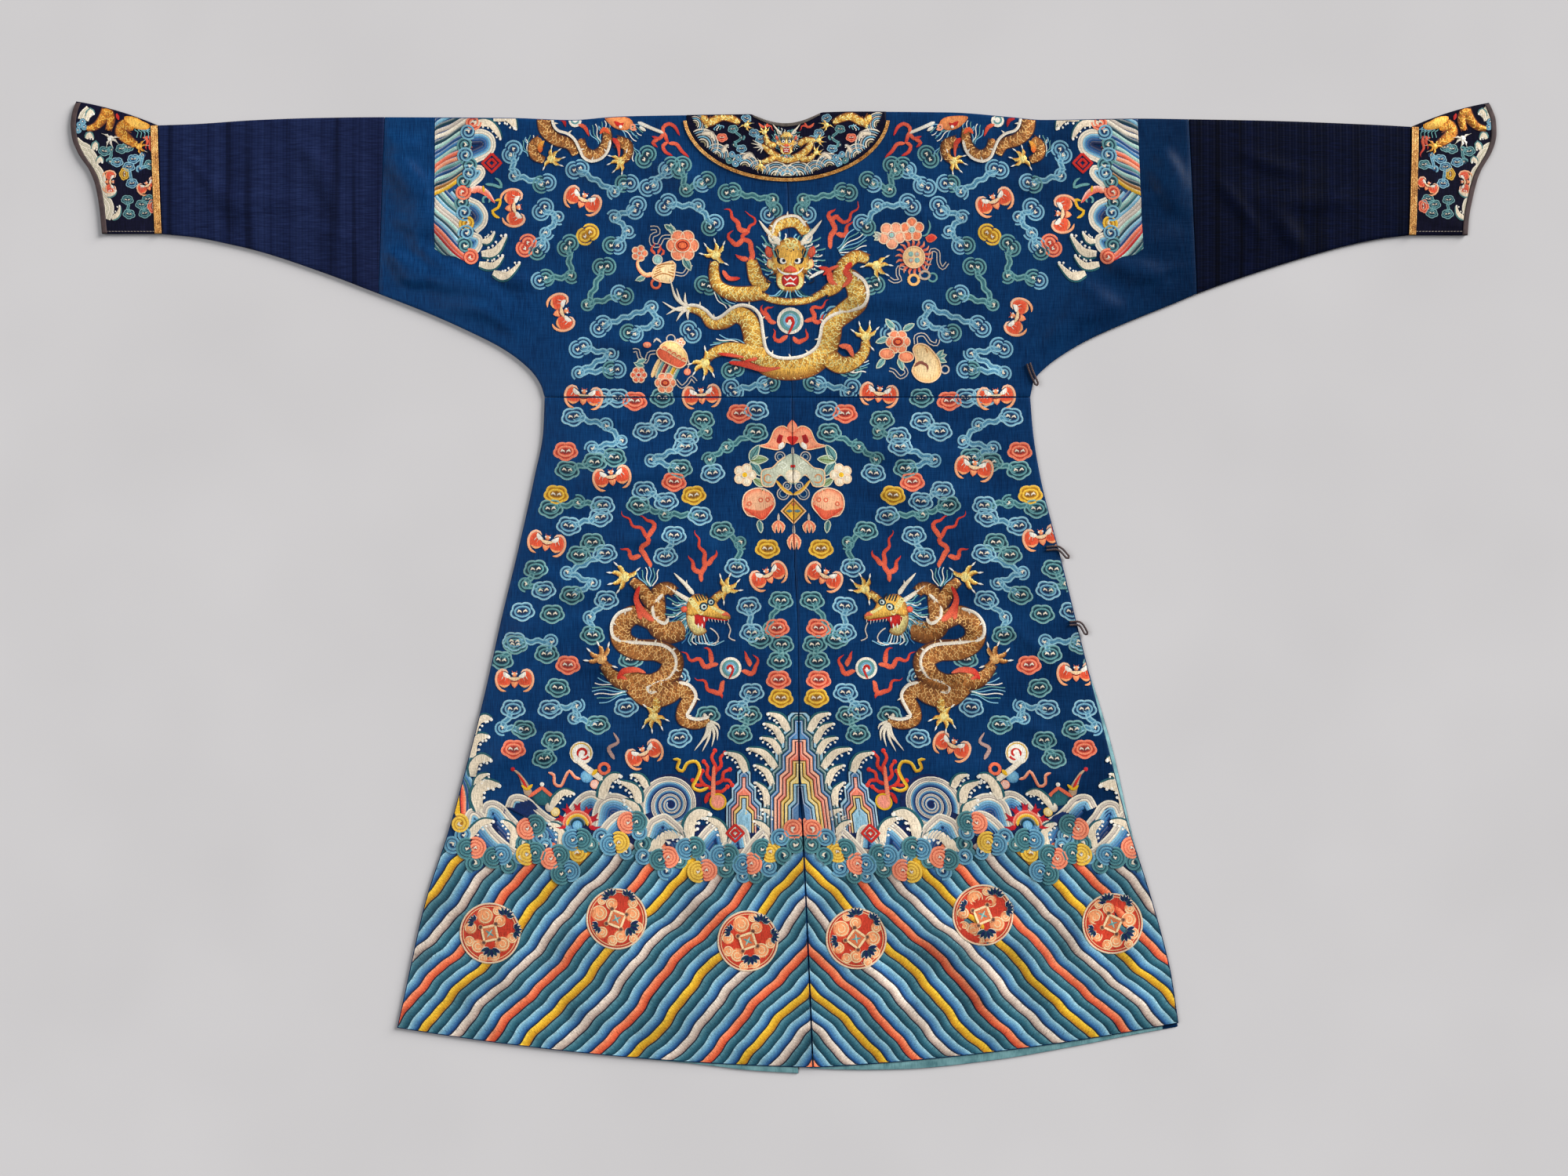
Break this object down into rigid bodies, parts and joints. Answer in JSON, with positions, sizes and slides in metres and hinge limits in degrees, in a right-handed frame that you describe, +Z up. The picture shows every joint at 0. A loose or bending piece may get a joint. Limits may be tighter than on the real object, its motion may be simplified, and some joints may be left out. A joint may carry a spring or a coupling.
{
  "type": "dragon robe",
  "caption": "Long flared silk robe with horse-hoof cuffs, ribbed sleeve extensions and embroidered dragons, laid flat on its front with its back up.",
  "frame": {"origin": "centre of the robe's outline, on the surface it lies on", "axes": "+X towards the right-hand side of the back as seen from above, +Y towards the neck, +Z up from the surface"},
  "size_m": [2.0757, 1.416, 0.0148],
  "materials": {
    "blue_satin": "silk satin with a soft sheen, embroidered all over",
    "navy_ribbed": "silk pleated into fine ribs, matt",
    "black_satin": "near-black silk satin, embroidered",
    "gold_piping": "piping couched with gold thread",
    "brown_braid": "flat dark brown silk braid",
    "grey_braid": "grey-brown silk braid",
    "pale_lining": "pale blue plain silk"
  },
  "bodies": {
    "root": {"back_upper_left": "blue_satin", "back_upper_right": "blue_satin", "back_skirt_left": "blue_satin", "back_skirt_right": "blue_satin", "sleeve_back_left": "navy_ribbed", "sleeve_back_right": "navy_ribbed", "cuff_back_left": "black_satin", "cuff_back_right": "black_satin", "cuff_binding_left": "brown_braid", "cuff_binding_right": "brown_braid", "cuff_piping_left": "gold_piping", "cuff_piping_right": "gold_piping", "collar_back": "black_satin", "collar_piping": "gold_piping", "neck_binding": "grey_braid", "front_upper_left": "blue_satin", "front_skirt_left": "blue_satin", "front_overlap_upper": "blue_satin", "front_overlap_skirt": "blue_satin", "front_shoulder_right": "blue_satin", "front_inner_flap": "blue_satin", "collar_front": "black_satin", "sleeve_front_left": "navy_ribbed", "sleeve_front_right": "navy_ribbed", "cuff_front_left": "black_satin", "cuff_front_right": "black_satin", "hem_lining_left": "pale_lining", "hem_lining_right": "pale_lining", "side_lining": "pale_lining", "loop_armpit": "brown_braid", "loop_hip": "brown_braid", "loop_side": "brown_braid"}
  },
  "joints": []
}
